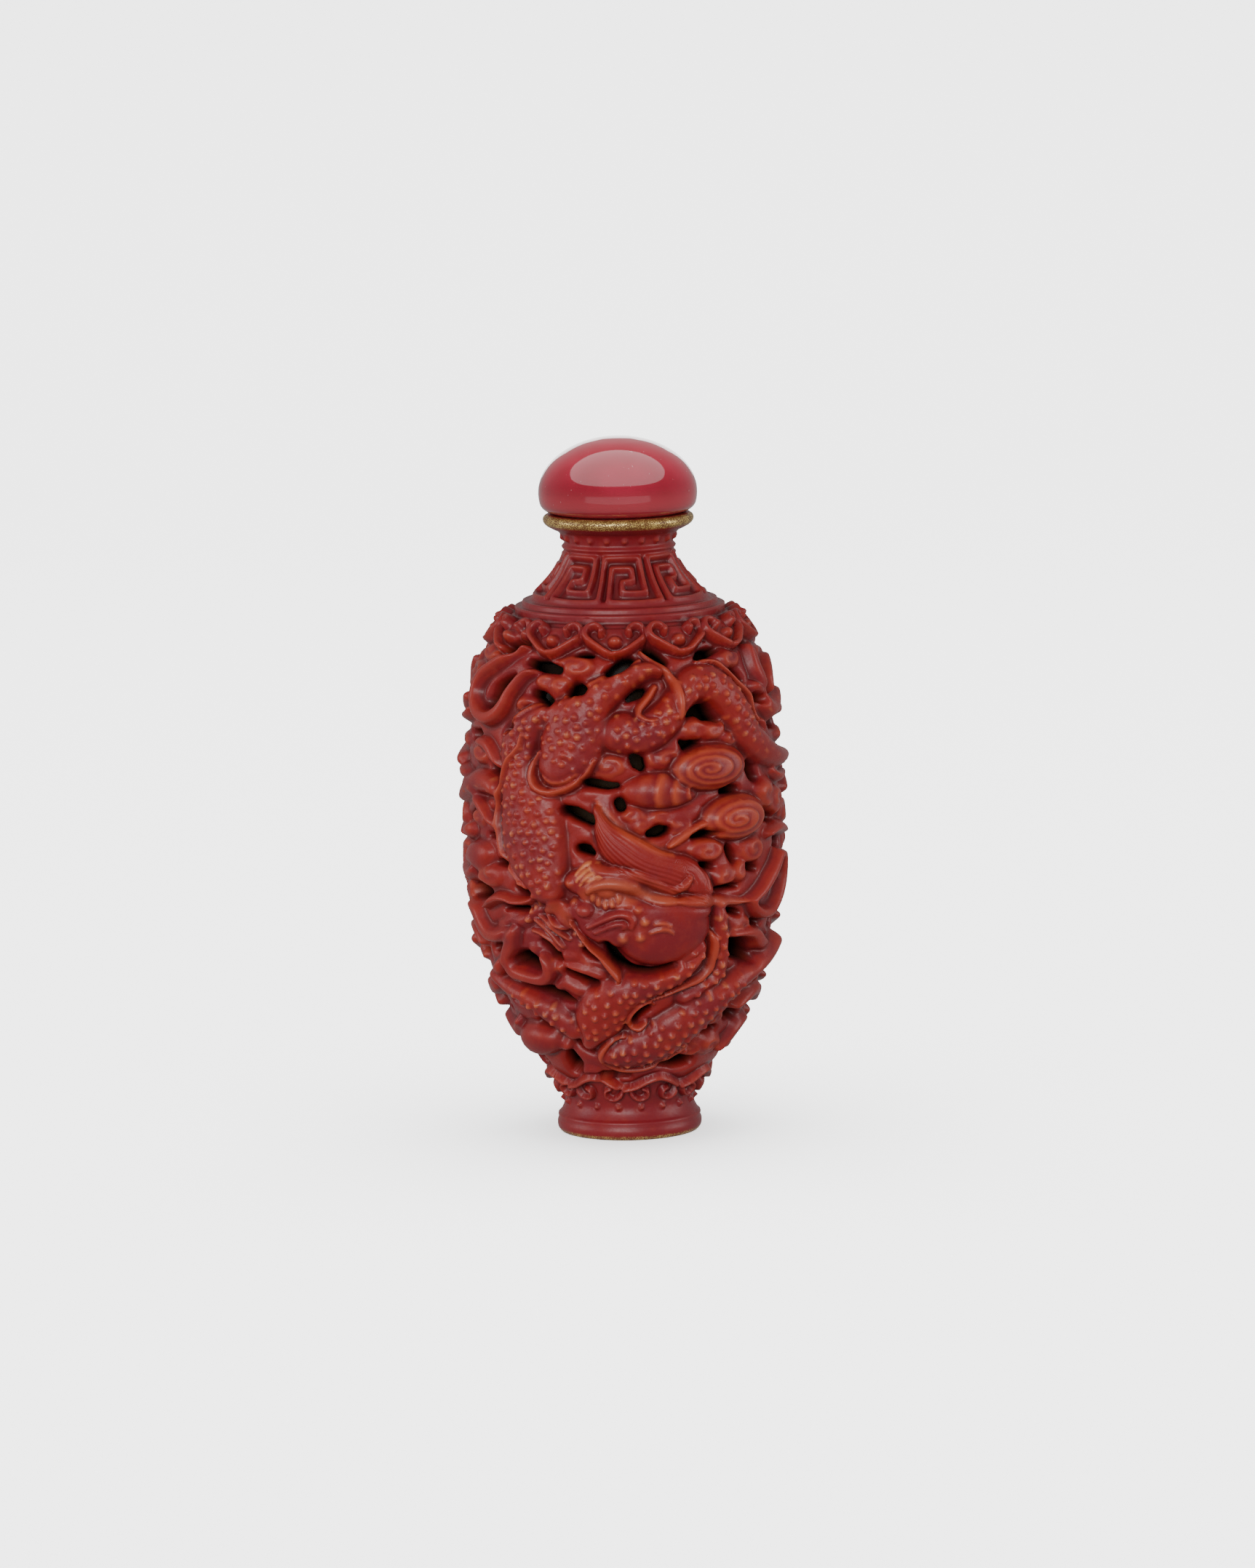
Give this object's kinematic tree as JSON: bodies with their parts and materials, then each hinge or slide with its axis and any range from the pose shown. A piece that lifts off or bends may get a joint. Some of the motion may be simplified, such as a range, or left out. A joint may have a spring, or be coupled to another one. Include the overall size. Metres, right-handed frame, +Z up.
{
  "type": "snuff bottle",
  "caption": "Slender high-shouldered snuff bottle with an openwork outer wall of dragons among clouds round a plain inner vessel, a fret on the neck and a domed glass stopper.",
  "frame": {"origin": "centre of the foot, on the surface the bottle stands on", "axes": "+Z up along the bottle's axis; -Y is the side with the dragon's head"},
  "size_m": [0.0374, 0.0388, 0.08],
  "materials": {
    "porcelain": "coral-red glaze with a soft gloss, gilt lip and foot line",
    "glass": "polished pink to crimson glass"
  },
  "bodies": {
    "root": {"bottle": "porcelain", "stopper": "glass"}
  },
  "joints": []
}
